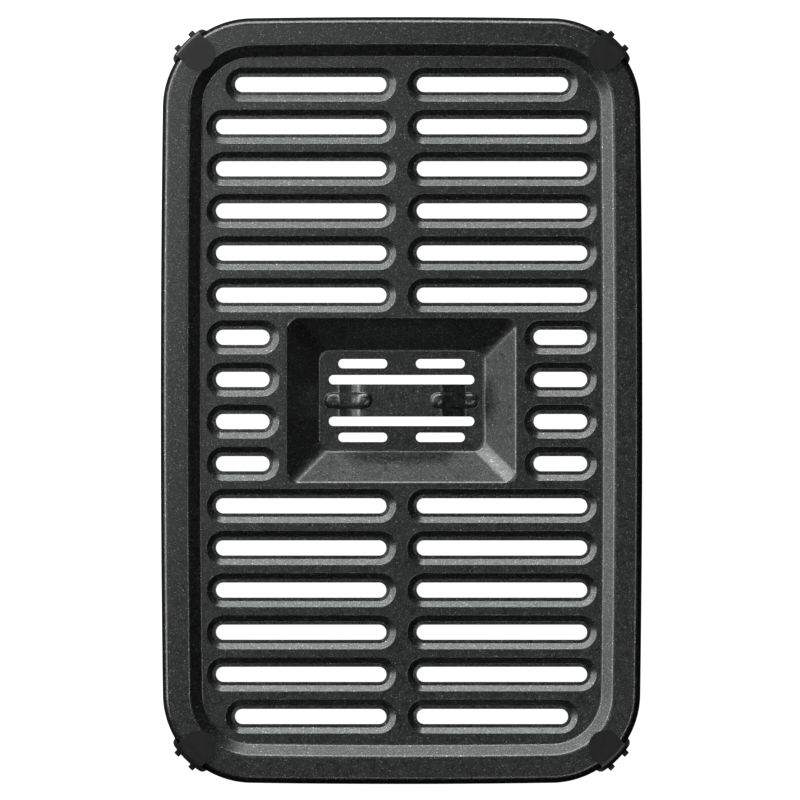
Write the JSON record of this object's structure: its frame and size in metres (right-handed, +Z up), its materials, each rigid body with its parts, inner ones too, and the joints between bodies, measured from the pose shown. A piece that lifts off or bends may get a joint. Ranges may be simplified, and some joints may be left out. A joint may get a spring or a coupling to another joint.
{
  "type": "crisper plate",
  "caption": "Shallow rounded-rectangle pressed plate with recessed slots, a sunken finger well crossed by a raised grip bridge, and push-on rubber corner bumpers.",
  "frame": {"origin": "centre of the bounding box in plan, at the underside of the bumpers", "axes": "+X across the short side, to the right seen from above; +Y along the long side; +Z up from the resting surface"},
  "size_m": [0.157, 0.25, 0.0178],
  "materials": {
    "coating": "satin, finely speckled",
    "silicone": "smooth satin"
  },
  "bodies": {
    "plate": {"plate": "coating"},
    "front_left_bumper": {"front_left_bumper": "silicone"},
    "front_right_bumper": {"front_right_bumper": "silicone"},
    "rear_left_bumper": {"rear_left_bumper": "silicone"},
    "rear_right_bumper": {"rear_right_bumper": "silicone"}
  },
  "joints": [
    {"name": "front_left_pull", "type": "slide", "parent": "plate", "child": "front_left_bumper", "axis": [-0.7071, -0.7071, 0], "range_m": [0, 0.02]},
    {"name": "front_right_pull", "type": "slide", "parent": "plate", "child": "front_right_bumper", "axis": [0.7071, -0.7071, 0], "range_m": [0, 0.02]},
    {"name": "rear_left_pull", "type": "slide", "parent": "plate", "child": "rear_left_bumper", "axis": [-0.7071, 0.7071, 0], "range_m": [0, 0.02]},
    {"name": "rear_right_pull", "type": "slide", "parent": "plate", "child": "rear_right_bumper", "axis": [0.7071, 0.7071, 0], "range_m": [0, 0.02]}
  ]
}
